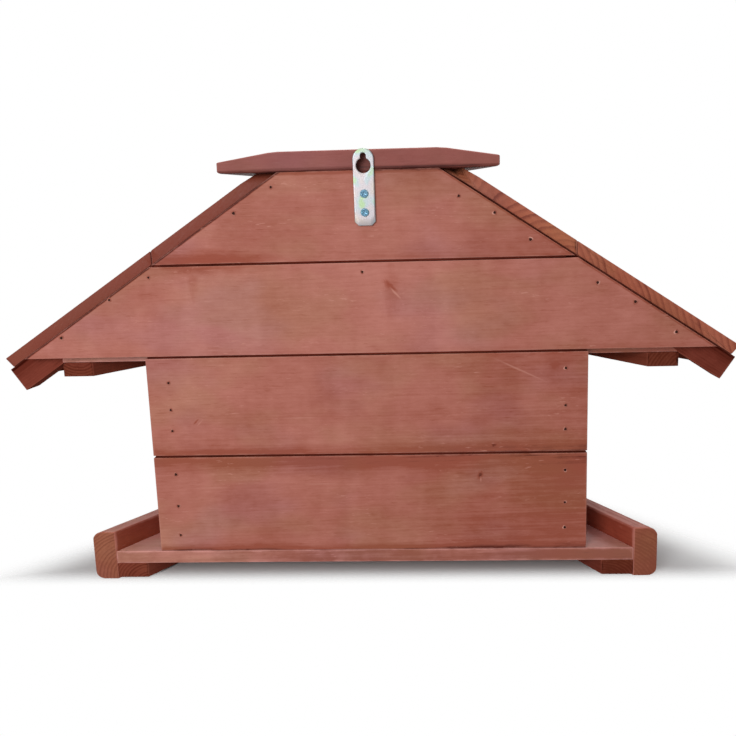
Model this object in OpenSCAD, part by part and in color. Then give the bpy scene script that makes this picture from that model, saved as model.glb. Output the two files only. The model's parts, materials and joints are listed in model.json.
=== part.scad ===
// Wall-mounted bird feeder house on a half-hexagonal plan.
// A planked back wall and gable carry a floor tray with rails, a ceiling and a hipped plank roof with a
// bevelled cap. A keyhole plate on the back hangs it on a wall screw.
// Millimetres, +Z up, the wall side faces +Y and the open feeding side faces -Y.

/* [Back wall] */
// Width of the lower wall
wall_w = 363; // [330:1:400]
// Thickness of the wall and gable planks
plank_t = 10; // [8:0.5:14]
// Height of each lower wall plank
wall_plank_h = 83.2; // [70:0.1:100]
// Height of the lower gable plank
gable_lower_h = 73.5; // [60:0.5:85]
// Height of the upper gable plank
gable_upper_h = 70.5; // [60:0.5:85]
// Open joint between neighbouring planks
plank_gap = 1.6; // [0.8:0.1:3]

/* [Floor tray] */
// Reach of the floor past each end of the wall
floor_overhang = 39.8; // [30:0.1:60]
// Thickness of the floor boards
floor_t = 11; // [8:0.5:16]
// Width of the battens under the floor's slanting sides
floor_batten_w = 23; // [16:0.5:32]
// Thickness of the battens under the floor
floor_batten_t = 13; // [8:0.5:20]
// Height of those battens above the ground
floor_batten_lift = 1.5; // [0:0.5:4]
// Thickness of the rails around the tray
rail_t = 17.5; // [12:0.5:24]
// Height of the rails around the tray
rail_h = 43; // [34:0.5:60]
// Radius of the rails' two outer long edges
rail_round = 7; // [2:0.5:8]

/* [Posts] */
// Side of the square posts between floor and ceiling
post_w = 24; // [18:0.5:30]

/* [Ceiling] */
// Thickness of the ceiling boards
ceiling_t = 11; // [8:0.5:14]
// Depth of the ceiling's underside below the gable planks
ceiling_drop = 5.2; // [3:0.1:8]
// Width of the battens under the ceiling's slanting sides
ceiling_batten_w = 22; // [16:0.5:30]
// Thickness of the battens under the ceiling
ceiling_batten_t = 12; // [8:0.5:18]

/* [Roof] */
// Reach of the roof past each end of the wall
roof_overhang = 124; // [105:0.5:145]
// Pitch of each roof side
roof_pitch = 37.4; // [36:0.1:39]
// Thickness of the roof boards
roof_t = 9; // [7:0.5:12]
// Height of the eave's upper edge above the gable planks' lower edge
eave_rise = -0.8; // [-3:0.1:3]
// Joint between roof, floor and ceiling boards
board_gap = 0.4; // [0.2:0.1:1]
// Depth of the gable planks' slanting edges below the plane of the roof boards' underside
verge_gap = 4.9; // [4:0.1:7]
// Width of the battens under the eaves
eave_batten_w = 37; // [30:0.5:42]
// Thickness of the battens under the eaves
eave_batten_t = 12; // [8:0.5:16]
// Thickness of the rafters behind the gable, away from the wall
rafter_t = 20; // [14:0.5:28]
// Depth of the rafters below the upper face of the roof boards
rafter_d = 31.5; // [26:0.5:36]
// Length of the rafter tails past the eave
rafter_tail = 2.5; // [0:0.5:10]

/* [Cap] */
// Reach of the cap past the roof boards under it, along the wall
cap_overhang = 21.8; // [12:0.1:32]
// Thickness of the cap at its edge
cap_edge_t = 8.5; // [6:0.5:12]
// Rise of the cap's bevel
cap_rise = 7.2; // [5:0.1:10]
// Run of the cap's bevel, square to each edge
cap_bevel = 39; // [30:0.5:50]

/* [Hanger] */
// Width of the hanger plate
plate_w = 16.5; // [15:0.5:20]
// Height of the hanger plate
plate_h = 59.5; // [56:0.5:66]
// Thickness of the hanger plate
plate_t = 2; // [1:0.1:3]
// Distance of the plate from the middle, towards -X
plate_offset = 5; // [0:0.5:10]
// Height of the plate's round top above the cap
plate_proud = 0.5; // [0:0.1:1]
// Chamfer of the plate's lower corners
plate_chamfer = 3; // [1:0.5:5]
// Radius of the keyhole's large hole
key_r = 5.7; // [5:0.1:6]
// Radius of the keyhole's slot
slot_r = 2.3; // [1.5:0.1:3]
// Distance from the plate's top to the middle of the large hole
key_drop = 13.2; // [12:0.1:15]
// Distance from the plate's top to the upper end of the slot's centre line
slot_drop = 5.8; // [5:0.1:7]
// Distance from the plate's top to the upper screw
screw_drop = 34.8; // [30:0.1:38]
// Distance between the two screws
screw_pitch = 14.5; // [10:0.5:17]
// Radius of the screw heads
screw_head_r = 3.2; // [2.5:0.1:4]
// Height of the screw heads
screw_head_h = 1.8; // [1.2:0.1:2.5]
// Radius of the screw shanks
screw_shank_r = 1.5; // [1:0.1:2]
// Length of the screws in the wood
screw_grip = 8; // [5:0.5:9]
// Radius of the pocket bored in the wood behind the keyhole
pocket_r = 8; // [7:0.1:8.5]
// Depth of that pocket
pocket_depth = 7; // [5:0.5:7.5]

/* [Hidden] */

$fn = 48;

// Stain colours
plank_color = [0.69, 0.45, 0.39];
tray_color = [0.63, 0.38, 0.32];
batten_color = [0.55, 0.31, 0.26];
roof_color = [0.60, 0.36, 0.33];
steel_color = [0.82, 0.84, 0.82];

// Plan: a half hexagon, whose half width at the wall is also the length of its other three sides.
// Half the angle that a side spans, and the way that each side faces
hex_angle = 30;
angle_front = -90;
angle_left = angle_front - 2 * hex_angle;
angle_right = angle_front + 2 * hex_angle;
hex_cos = cos(hex_angle);
hex_tan = tan(hex_angle);
floor_r = wall_w / 2 + floor_overhang;

// The roof stops behind the gable planks, flush with the rafters: half its width there, and the half
// width that its sides would reach in the face of the wall
verge_r = wall_w / 2 + roof_overhang;
roof_r = verge_r + plank_t * hex_tan;

// Boards that run down each roof side, and boards that make up the floor or the ceiling
roof_boards = 4;
plan_boards = 3;

// Small seat between pieces that bear on each other along an edge, the screws' clearance,
// and the length by which a cut passes a face
seat = 0.2;
screw_clear = 0.15;
overcut = 1;

// Screw heads: rim as a share of the height, crown, recess width and recess length as shares of the radius
rim_share = 0.5;
crown_share = 0.7;
recess_w_share = 0.25;
recess_l_share = 1.2;

// Heights
floor_z = floor_batten_lift + floor_batten_t;
floor_top = floor_z + floor_t;
wall_upper_z = floor_top + wall_plank_h + plank_gap;
gable_z = wall_upper_z + wall_plank_h + plank_gap;
gable_upper_z = gable_z + gable_lower_h + plank_gap;
cap_z = gable_upper_z + gable_upper_h;
cap_top = cap_z + cap_edge_t + cap_rise;
ceiling_z = gable_z - ceiling_drop;

// Roof plane: distance out from the house's axis, square to a side, against height
eave_z = gable_z + eave_rise;
eave_out = roof_r * hex_cos;
verge_pitch = atan(tan(roof_pitch) * hex_cos);
function down_slope(out, z, run, deep) = [
    out + run * cos(roof_pitch) - deep * sin(roof_pitch),
    z - run * sin(roof_pitch) - deep * cos(roof_pitch)
];
function roof_point(run, deep) = down_slope(eave_out, eave_z, run, deep);
function roof_out_at(z, deep) =
    eave_out - (z - eave_z) / tan(roof_pitch) - deep / sin(roof_pitch);
function roof_z_at(out, deep) =
    eave_z + (eave_out - out) * tan(roof_pitch) - deep / cos(roof_pitch);

// The ceiling reaches out to the inner corner of the eave battens
ceiling_out = roof_point(-eave_batten_w, roof_t + eave_batten_t)[0] - seat;
ceiling_r = ceiling_out / hex_cos;
floor_out = floor_r * hex_cos;

// The cap covers the heads of the roof boards
cap_r = roof_out_at(cap_z, 0) / hex_cos + cap_overhang;
cap_out = cap_r * hex_cos;

// Hanger
plate_x = -plate_offset;
plate_top = cap_top + plate_proud;
key_z = plate_top - key_drop;
slot_z = plate_top - slot_drop;
pocket_z = plate_top - (key_drop + slot_drop) / 2 - slot_r / 2;
screw_zs = [plate_top - screw_drop, plate_top - screw_drop - screw_pitch];

// The wall face stands at this Y, so that the whole part is centred on the origin
proud = plate_t + screw_head_h;
wall_y = (eave_out - proud) / 2;

// Lengths that pass well beyond the whole house
reach = 2 * roof_r;
tall = cap_top + reach;

module on_wall() {
    translate([0, wall_y, 0]) children();
}

// A profile of distance out and height, carried along one side of the house
module along_side(side) {
    rotate([0, 0, side]) rotate([90, 0, 0])
        linear_extrude(height = 2 * reach, center = true) children();
}

// The wedge of plan that belongs to one side, with half a joint taken off each mitre
module sector(side) {
    rotate([0, 0, side]) translate([board_gap, 0, -reach])
        linear_extrude(height = tall + reach)
            polygon([[0, 0], [reach, -reach * hex_tan], [reach, reach * hex_tan]]);
}

module mitred_side(side) {
    intersection() {
        along_side(side) children();
        sector(side);
    }
}

// A board of the half-hexagonal floor or ceiling, between two distances from the wall face
module plan_board(r, near, far, thick) {
    near_x = r - near * hex_tan;
    far_x = r - far * hex_tan;
    linear_extrude(height = thick)
        polygon([[near_x, -near], [far_x, -far], [-far_x, -far], [-near_x, -near]]);
}

// Everything that lies below the roof plane of one side, at a given depth under its upper face
module below_roof(side, deep) {
    along_side(side)
        polygon([
            [-reach, roof_z_at(-reach, deep)], [reach, roof_z_at(reach, deep)],
            [reach, -2 * reach], [-reach, -2 * reach]
        ]);
}

module wall_plank(z) {
    translate([-wall_w / 2, -plank_t, z]) cube([wall_w, plank_t, wall_plank_h]);
}

// Gable planks run out to the roof and are bevelled to its underside
module gable_plank(z, h) {
    intersection() {
        translate([-roof_r, -plank_t, z]) cube([2 * roof_r, plank_t, h]);
        below_roof(angle_left, roof_t + verge_gap);
        below_roof(angle_right, roof_t + verge_gap);
    }
}

module key_pocket() {
    translate([plate_x, 0, pocket_z]) rotate([90, 0, 0])
        translate([0, 0, -overcut]) cylinder(h = pocket_depth + overcut, r = pocket_r);
}

module screw_holes(r, deep) {
    for (z = screw_zs)
        translate([plate_x, 0, z]) rotate([90, 0, 0])
            translate([0, 0, -proud]) cylinder(h = deep + proud, r = r);
}

// Shares of a depth laid with boards of equal width and a joint between them
module board_row(r, near, far, index, thick) {
    share = (far - near + board_gap) / plan_boards;
    start = near + index * share;
    plan_board(r, start, start + share - board_gap, thick);
}

module floor_board(index) {
    color(tray_color) on_wall() translate([0, 0, floor_z])
        board_row(floor_r, 0, floor_out, index, floor_t);
}

module floor_batten(side) {
    color(batten_color) on_wall() mitred_side(side)
        translate([floor_out - floor_batten_w, floor_batten_lift])
            square([floor_batten_w, floor_batten_t]);
}

// Rail profile: square inside, both outer long edges rounded
module rail_profile() {
    square([rail_t - rail_round, rail_h]);
    translate([0, rail_round]) square([rail_t, rail_h - 2 * rail_round]);
    for (z = [rail_round, rail_h - rail_round])
        translate([rail_t - rail_round, z]) circle(r = rail_round);
}

module rail(side) {
    color(tray_color) on_wall() mitred_side(side)
        translate([floor_out, 0]) rail_profile();
}

module back_post(way) {
    color(batten_color) on_wall()
        translate([way * (wall_w - post_w) / 2 - post_w / 2, -plank_t - post_w, floor_top])
            cube([post_w, post_w, ceiling_z - floor_top]);
}

// Front posts stand on the corners of the wall's own half hexagon, square to the corner
module front_post(side) {
    color(batten_color) on_wall() rotate([0, 0, side])
        translate([wall_w / 2 - post_w, -post_w / 2, floor_top])
            cube([post_w, post_w, ceiling_z - floor_top]);
}

// Rafter bar seen square to the gable: tail end cut square to the slope
module rafter_bar(way, clear) {
    along = [cos(verge_pitch), -sin(verge_pitch)];
    deep = [-sin(verge_pitch), -cos(verge_pitch)];
    eave = [verge_r, eave_z];
    tail = eave + (rafter_tail + clear) * along;
    head = eave - reach * along;
    scale([way, 1, 1]) translate([0, -plank_t, 0]) rotate([90, 0, 0])
        linear_extrude(height = rafter_t + clear)
            polygon([tail, tail + (rafter_d + clear) * deep, head + (rafter_d + clear) * deep, head]);
}

// Rafters fill up to the roof boards, end level under the cap and keep to their own half of the gable
module rafter(way, side) {
    color(batten_color) on_wall() intersection() {
        rafter_bar(way, 0);
        below_roof(side, roof_t);
        scale([way, 1, 1]) translate([seat, -reach, 0]) cube([reach, 2 * reach, cap_z]);
    }
}

module ceiling_board(index) {
    color(tray_color) on_wall() difference() {
        translate([0, 0, ceiling_z])
            board_row(ceiling_r, plank_t, ceiling_out, index, ceiling_t);
        if (index == 0) {
            rafter_bar(1, seat);
            rafter_bar(-1, seat);
        }
    }
}

module ceiling_batten(way, side) {
    color(batten_color) on_wall() difference() {
        mitred_side(side)
            translate([ceiling_out - ceiling_batten_w, ceiling_z - ceiling_batten_t])
                square([ceiling_batten_w, ceiling_batten_t]);
        rafter_bar(way, seat);
        translate([-reach, -plank_t, 0]) cube([2 * reach, reach, tall]);
    }
}

// Eave battens lie flat under the roof boards, level with their lower ends, and stop at the rafters
module eave_batten(side) {
    color(batten_color) on_wall() difference() {
        mitred_side(side)
            polygon([
                roof_point(0, roof_t), roof_point(-eave_batten_w, roof_t),
                roof_point(-eave_batten_w, roof_t + eave_batten_t), roof_point(0, roof_t + eave_batten_t)
            ]);
        translate([-reach, -plank_t - rafter_t - seat, 0]) cube([2 * reach, reach, tall]);
    }
}

// Roof boards run down the slope: eaves cut square, heads cut level under the cap, hips mitred, and the
// verges upright against the back of the gable planks
module roof_board(side, index) {
    share = (roof_r + board_gap) / roof_boards;
    start = -roof_r / 2 + index * share;
    color(roof_color) on_wall() intersection() {
        mitred_side(side)
            polygon([
                roof_point(0, 0), [roof_out_at(cap_z, 0), cap_z],
                [roof_out_at(cap_z, roof_t), cap_z], roof_point(0, roof_t)
            ]);
        rotate([0, 0, side]) translate([0, start, 0]) cube([reach, share - board_gap, tall]);
        translate([-reach, -plank_t - reach, 0]) cube([2 * reach, reach, tall]);
    }
}

module wall_plank_lower() {
    color(plank_color) on_wall() wall_plank(floor_top);
}

module wall_plank_upper() {
    color(plank_color) on_wall() wall_plank(wall_upper_z);
}

module gable_plank_lower() {
    color(plank_color) on_wall() gable_plank(gable_z, gable_lower_h);
}

module gable_plank_upper() {
    color(plank_color) on_wall() difference() {
        gable_plank(gable_upper_z, gable_upper_h);
        key_pocket();
        screw_holes(screw_shank_r + screw_clear, screw_grip + screw_clear);
    }
}

// Cap: half hexagon with a level top and a shallow bevel down to each of its three open edges
module cap() {
    color(roof_color) on_wall() difference() {
        translate([0, 0, cap_z]) plan_board(cap_r, 0, cap_out, cap_edge_t + cap_rise);
        for (side = [angle_left, angle_front, angle_right])
            along_side(side)
                polygon([
                    [cap_out - cap_bevel, cap_top],
                    [cap_out + cap_bevel, cap_top - 2 * cap_rise],
                    [cap_out + cap_bevel, cap_top + cap_rise],
                    [cap_out - cap_bevel, cap_top + cap_rise]
                ]);
        key_pocket();
    }
}

module plate_outline() {
    half = plate_w / 2;
    translate([0, -half]) circle(r = half);
    polygon([
        [-half, -half], [-half, plate_chamfer - plate_h], [plate_chamfer - half, -plate_h],
        [half - plate_chamfer, -plate_h], [half, plate_chamfer - plate_h], [half, -half]
    ]);
}

module hanger_plate() {
    past = plate_t + overcut;
    color(steel_color) on_wall() difference() {
        translate([plate_x, plate_t, plate_top]) rotate([90, 0, 0])
            linear_extrude(height = plate_t) plate_outline();
        translate([plate_x, 0, key_z]) rotate([90, 0, 0])
            cylinder(h = 2 * past, r = key_r, center = true);
        translate([plate_x, 0, slot_z]) rotate([90, 0, 0])
            cylinder(h = 2 * past, r = slot_r, center = true);
        translate([plate_x - slot_r, -past, key_z])
            cube([2 * slot_r, 2 * past, slot_z - key_z]);
        screw_holes(screw_shank_r + screw_clear, plate_t);
    }
}

// Pan-head screw along -Y, with its head's seat at the origin and a cross recess
module screw() {
    rim_h = rim_share * screw_head_h;
    recess_w = recess_w_share * screw_head_r;
    recess_l = recess_l_share * screw_head_r;
    rotate([90, 0, 0]) cylinder(h = plate_t + screw_grip, r = screw_shank_r);
    difference() {
        rotate([-90, 0, 0]) union() {
            cylinder(h = rim_h, r = screw_head_r);
            translate([0, 0, rim_h])
                cylinder(h = screw_head_h - rim_h, r1 = screw_head_r, r2 = crown_share * screw_head_r);
        }
        for (turn = [0, 90])
            rotate([0, turn, 0])
                translate([-recess_w / 2, rim_h, -recess_l / 2])
                    cube([recess_w, screw_head_h, recess_l]);
    }
}

module hanger_screws() {
    color(steel_color) on_wall()
        for (z = screw_zs)
            translate([plate_x, plate_t, z]) screw();
}

wall_plank_lower();
wall_plank_upper();
gable_plank_lower();
gable_plank_upper();
floor_board(0);  // floor_board_back
floor_board(1);  // floor_board_middle
floor_board(2);  // floor_board_front
floor_batten(angle_left);  // floor_batten_left
floor_batten(angle_right);  // floor_batten_right
rail(angle_left);  // rail_left
rail(angle_front);  // rail_front
rail(angle_right);  // rail_right
back_post(-1);  // post_back_left
back_post(1);  // post_back_right
front_post(angle_front - hex_angle);  // post_front_left
front_post(angle_front + hex_angle);  // post_front_right
ceiling_board(0);  // ceiling_board_back
ceiling_board(1);  // ceiling_board_middle
ceiling_board(2);  // ceiling_board_front
ceiling_batten(-1, angle_left);  // ceiling_batten_left
ceiling_batten(1, angle_right);  // ceiling_batten_right
rafter(-1, angle_left);  // rafter_left
rafter(1, angle_right);  // rafter_right
eave_batten(angle_left);  // eave_batten_left
eave_batten(angle_front);  // eave_batten_front
eave_batten(angle_right);  // eave_batten_right
roof_board(angle_left, 0);  // roof_left_1
roof_board(angle_left, 1);  // roof_left_2
roof_board(angle_left, 2);  // roof_left_3
roof_board(angle_left, 3);  // roof_left_4
roof_board(angle_front, 0);  // roof_front_1
roof_board(angle_front, 1);  // roof_front_2
roof_board(angle_front, 2);  // roof_front_3
roof_board(angle_front, 3);  // roof_front_4
roof_board(angle_right, 0);  // roof_right_1
roof_board(angle_right, 1);  // roof_right_2
roof_board(angle_right, 2);  // roof_right_3
roof_board(angle_right, 3);  // roof_right_4
cap();
hanger_plate();
hanger_screws();
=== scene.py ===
import json
import math

import bpy
import numpy as np
from mathutils import Matrix, Vector


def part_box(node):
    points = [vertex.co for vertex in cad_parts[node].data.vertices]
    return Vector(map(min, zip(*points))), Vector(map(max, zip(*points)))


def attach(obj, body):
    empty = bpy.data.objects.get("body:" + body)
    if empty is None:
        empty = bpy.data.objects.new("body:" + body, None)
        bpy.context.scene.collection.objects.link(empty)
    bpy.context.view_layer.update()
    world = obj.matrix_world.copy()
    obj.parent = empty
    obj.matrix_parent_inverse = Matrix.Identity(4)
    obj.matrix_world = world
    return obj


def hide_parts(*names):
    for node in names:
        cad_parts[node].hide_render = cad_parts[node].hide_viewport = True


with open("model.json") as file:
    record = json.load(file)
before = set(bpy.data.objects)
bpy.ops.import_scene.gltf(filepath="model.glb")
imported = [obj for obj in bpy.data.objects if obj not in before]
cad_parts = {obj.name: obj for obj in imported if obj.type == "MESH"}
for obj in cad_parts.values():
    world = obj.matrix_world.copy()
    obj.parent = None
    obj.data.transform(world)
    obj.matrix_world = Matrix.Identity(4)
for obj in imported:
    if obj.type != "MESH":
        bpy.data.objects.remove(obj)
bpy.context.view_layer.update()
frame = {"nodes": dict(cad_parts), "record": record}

scene = bpy.context.scene
scene.view_settings.view_transform = "Standard"
nodes = frame["nodes"]
nodeOrder = sorted(nodes)
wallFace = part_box("wall_plank_lower")[1].y      # the face that goes against the wall
print("frame loaded:", len(nodes), "nodes")

# Camera on the wall side. Lengths in metres, angles in radians, lens and image centre in pixels.
cameraSet = {
    "imageSide": 736, "focal": 732.9, "centre": (419.0, 352.2), "sensor": 36.0,
    "aside": -0.0687, "away": 0.5873, "height": 0.2910,
    "yaw": -0.0406, "pitch": 0.1618, "roll": -0.0249,
}


def placeCamera(s):
    flat = math.cos(s["pitch"])
    forward = Vector((-math.sin(s["yaw"]) * flat, -math.cos(s["yaw"]) * flat, -math.sin(s["pitch"])))
    level = Vector((-math.cos(s["yaw"]), math.sin(s["yaw"]), 0))
    upright = level.cross(forward)
    across = math.cos(s["roll"]) * level + math.sin(s["roll"]) * upright
    above = math.cos(s["roll"]) * upright - math.sin(s["roll"]) * level
    camera = bpy.data.cameras.new("camera")
    holder = bpy.data.objects.new("camera", camera)
    scene.collection.objects.link(holder)
    holder.matrix_world = Matrix((across, above, -forward)).transposed().to_4x4()
    holder.location = (s["aside"], wallFace + s["away"], s["height"])
    camera.sensor_width = s["sensor"]
    camera.lens = s["focal"] / s["imageSide"] * s["sensor"]
    camera.shift_x = 0.5 - s["centre"][0] / s["imageSide"]
    camera.shift_y = s["centre"][1] / s["imageSide"] - 0.5
    scene.camera = holder


placeCamera(cameraSet)
print("camera placed")

# Soft key high on the wall side's left, a broad light overhead, a weak one in front and an even surround
lightSet = {
    "surround": 0.45,
    "lamps": {
        "key": {"at": (0.42, 1.25, 0.52), "size": 0.7, "power": 9.8},
        "top": {"at": (0.0, -0.15, 1.7), "size": 0.8, "power": 26.0},
        "front": {"at": (-0.4, -1.2, 1.3), "size": 1.0, "power": 5.0},
    },
    "aim": (0.0, 0.1, 0.2),
}
# The floor keeps the shadow inside the half hexagon that the house covers, and is clear beyond it
floorSet = {"side": 5.0, "seen": 0.68, "bounce": 0.3, "fade": (0.0, 0.09), "slant": 0.9, "sides": 0.175,
            "wallSide": 0.112, "sharper": 2.6, "offset": 0.012}


def feed(tree, made, links):
    for key, value in links.items():
        if isinstance(value, bpy.types.NodeSocket):
            tree.links.new(value, made.inputs[key])
        else:
            made.inputs[key].default_value = value


def put(tree, kind, links=None, **settings):
    made = tree.nodes.new("ShaderNode" + kind)
    for key, value in settings.items():
        setattr(made, key, value)
    feed(tree, made, links or {})
    return made


def maths(tree, operation, first, second=0.0, third=0.0):
    return put(tree, "Math", {0: first, 1: second, 2: third}, operation=operation).outputs[0]


def addUp(tree, total, *terms):     # each term is a value and its share
    for value, share in terms:
        total = maths(tree, "MULTIPLY_ADD", value, share, total)
    return total


def smooth(tree, value, low, high, start=0.0, end=1.0):
    given = {"Value": value, "From Min": low, "From Max": high, "To Min": start, "To Max": end}
    return put(tree, "MapRange", given, interpolation_type="SMOOTHSTEP").outputs["Result"]


def blend(tree, share, first, second, how="MIX"):
    mixed = put(tree, "Mix", {0: share, 6: first, 7: second}, data_type="RGBA", blend_type=how)
    return mixed.outputs[2]


def stretched(tree, vector, by):
    return put(tree, "VectorMath", {0: vector, 1: by}, operation="MULTIPLY").outputs[0]


def noise(tree, vector, scale=1.0, detail=2.0, rough=0.5):
    given = {"Vector": vector, "Scale": scale, "Detail": detail, "Roughness": rough}
    return put(tree, "TexNoise", given).outputs["Fac"]


def split(tree, vector):
    return put(tree, "SeparateXYZ", {0: vector}).outputs


def objectPlace(tree):
    return put(tree, "TexCoord").outputs["Object"]


def attribute(tree, label):
    return put(tree, "Attribute", attribute_name=label).outputs["Vector"]


def newMaterial(name):
    material = bpy.data.materials.new(name)
    material.use_nodes = True
    return material, material.node_tree, material.node_tree.nodes["Principled BSDF"]


def seenRays(tree):     # 1 where the camera looks, also by way of gloss or glass
    path = put(tree, "LightPath").outputs
    rays = maths(tree, "MAXIMUM", path["Is Camera Ray"], path["Is Glossy Ray"])
    return maths(tree, "MAXIMUM", rays, path["Is Transmission Ray"])


def lightSurround(level):       # white to the camera, dimmer as a light
    scene.world = bpy.data.worlds.new("surround")
    scene.world.use_nodes = True
    tree = scene.world.node_tree
    strength = maths(tree, "MULTIPLY_ADD", seenRays(tree), 1 - level, level)
    feed(tree, tree.nodes["Background"], {"Color": (1, 1, 1, 1), "Strength": strength})


def hangLamps(lamps, aim):
    for name, s in lamps.items():
        lamp = bpy.data.lights.new(name, "AREA")
        lamp.shape, lamp.size, lamp.energy = "DISK", s["size"], s["power"]
        holder = bpy.data.objects.new(name, lamp)
        scene.collection.objects.link(holder)
        holder.location = s["at"]
        holder.rotation_euler = (Vector(aim) - Vector(s["at"])).to_track_quat("-Z", "Y").to_euler()


def layFloor(s):
    half = s["side"] / 2
    corners = [(-half, -half, 0), (half, -half, 0), (half, half, 0), (-half, half, 0)]
    mesh = bpy.data.meshes.new("floor")
    mesh.from_pydata(corners, [], [(0, 1, 2, 3)])
    floor = bpy.data.objects.new("floor", mesh)
    scene.collection.objects.link(floor)
    material, tree, surface = newMaterial("pale_floor")
    tree.nodes.remove(surface)
    tint = blend(tree, seenRays(tree), (s["bounce"],) * 3 + (1,), (s["seen"],) * 3 + (1,))
    paint = put(tree, "BsdfDiffuse", {"Color": tint})
    spot = split(tree, objectPlace(tree))
    aside = maths(tree, "ABSOLUTE", maths(tree, "ADD", spot["X"], s["offset"]))
    aside = maths(tree, "MULTIPLY_ADD", spot["Y"], -s["slant"], aside)
    ahead = maths(tree, "SUBTRACT", spot["Y"], s["wallSide"])
    ahead = maths(tree, "MULTIPLY", ahead, s["sharper"])
    beyond = maths(tree, "MAXIMUM", maths(tree, "SUBTRACT", aside, s["sides"]), ahead)
    gone = smooth(tree, beyond, *s["fade"])
    clear = put(tree, "BsdfTransparent")
    faded = put(tree, "MixShader", {0: gone, 1: paint.outputs[0], 2: clear.outputs[0]})
    tree.links.new(faded.outputs[0], tree.nodes["Material Output"].inputs["Surface"])
    mesh.materials.append(material)


lightSurround(lightSet["surround"])
hangLamps(lightSet["lamps"], lightSet["aim"])
layFloor(floorSet)
print("stage lit")


# Shader groups. Each takes values of its own wherever it is placed.
def startGroup(name, inputs, outputs):
    tree = bpy.data.node_groups.new(name, "ShaderNodeTree")
    for side, sockets in (("INPUT", inputs), ("OUTPUT", outputs)):
        for kind, labels in sockets.items():
            for label in labels:
                tree.interface.new_socket(label, in_out=side, socket_type="NodeSocket" + kind)
    return tree, tree.nodes.new("NodeGroupInput").outputs, tree.nodes.new("NodeGroupOutput").inputs


def finishGroup(tree, outlet, made):
    for label, socket in made.items():
        tree.links.new(socket, outlet[label])
    return tree


# Growth rings about a pith line, fibres, short streaks, flecks, uneven soaking with brush laps across the
# grain, pores and slow drifts of hue, in the board's own grain directions. A noise is its stretch along and
# across the grain, its detail and its roughness, and where it is cut off, from and to which value.
figureSet = {
    "noises": {
        "bend": (3, 24, 2, 0.5), "ripple": (28, 170, 3, 0.5), "laps": (48, 7, 3, 0.5),
        "mottle": (85, 150, 4, 0.65), "fibre": (70, 900, 3, 0.55), "soak": (14, 24, 5, 0.62),
        "dark": (48, 430, 3, 0.6, 0.59, 0.75), "pale": (60, 520, 3, 0.6, 0.61, 0.77),
        "fleck": (230, 480, 3, 0.65, 0.62, 0.74),
        "flake": (120, 620, 2, 0.6, 0.62, 0.72), "cluster": (16, 40, 2, 0.5, 0.48, 0.66),
        "band": (9, 330, 3, 0.55, 0.33, 0.67, 0.75, 1.25), "pore": (110, 1300, 1, 0.5, 0.66, 0.74),
        "tan": (13, 24, 2, 0.5, 0.42, 0.66), "mauve": (11, 19, 2, 0.5, 0.46, 0.70),
    },
    "lateRise": (0.25, 0.86), "lateEnd": (0.9, 1.0), "year": (0.85, 0.15),
    "ripple": 0.22, "fleck": -0.8, "laps": 0.45, "mottle": 0.5,
}
figureParts = ("Latewood", "Fibre", "Streak", "Soak", "Pore", "Tan", "Mauve", "Flake", "Band")


def woodFigureGroup(s):
    inputs = {"Vector": ("Grain",), "Float": ("Ring Width", "Wander", "Swirl")}
    tree, given, outlet = startGroup("wood_figure", inputs, {"Float": figureParts})
    made = {}
    for name, (along, across, detail, rough, *cut) in s["noises"].items():
        place = stretched(tree, given["Grain"], (along, across, across))
        made[name] = noise(tree, place, detail=detail, rough=rough)
        if cut:
            made[name] = smooth(tree, made[name], *cut)
    for name in ("bend", "ripple", "laps", "mottle"):
        made[name] = maths(tree, "SUBTRACT", made[name], 0.5)
    parts = split(tree, given["Grain"])
    squares = maths(tree, "MULTIPLY", parts["Z"], parts["Z"])
    radius = maths(tree, "SQRT", maths(tree, "MULTIPLY_ADD", parts["Y"], parts["Y"], squares))
    slight = maths(tree, "MULTIPLY", given["Wander"], s["ripple"])
    radius = addUp(tree, radius, (made["bend"], given["Wander"]), (made["ripple"], slight))
    phase = maths(tree, "DIVIDE", maths(tree, "ADD", radius, given["Swirl"]), given["Ring Width"])
    part, ring = maths(tree, "FRACT", phase), maths(tree, "FLOOR", phase)
    late = smooth(tree, part, *s["lateRise"])
    late = maths(tree, "MULTIPLY", late, smooth(tree, part, *s["lateEnd"], 1.0, 0.0))
    year = put(tree, "TexWhiteNoise", {"W": ring}, noise_dimensions="1D").outputs["Value"]
    late = maths(tree, "MULTIPLY", late, maths(tree, "MULTIPLY_ADD", year, *s["year"]))
    streak = addUp(tree, maths(tree, "SUBTRACT", made["dark"], made["pale"]), (made["fleck"], s["fleck"]))
    soak = addUp(tree, made["soak"], (made["laps"], s["laps"]), (made["mottle"], s["mottle"]))
    flake = maths(tree, "MULTIPLY", made["flake"], made["cluster"])
    return finishGroup(tree, outlet, {
        "Latewood": late, "Fibre": made["fibre"], "Streak": streak, "Soak": soak, "Pore": made["pore"],
        "Tan": made["tan"], "Mauve": made["mauve"], "Flake": flake, "Band": made["band"]})


# One mark in the wood: a ragged ellipse turned about the wall's normal, and a swirl that pushes rings aside
markSet = {"grit": 1.6, "ragged": 1.1, "edge": (0.15, 1.1), "swirlFall": -1.1, "swirl": 0.003}


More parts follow.
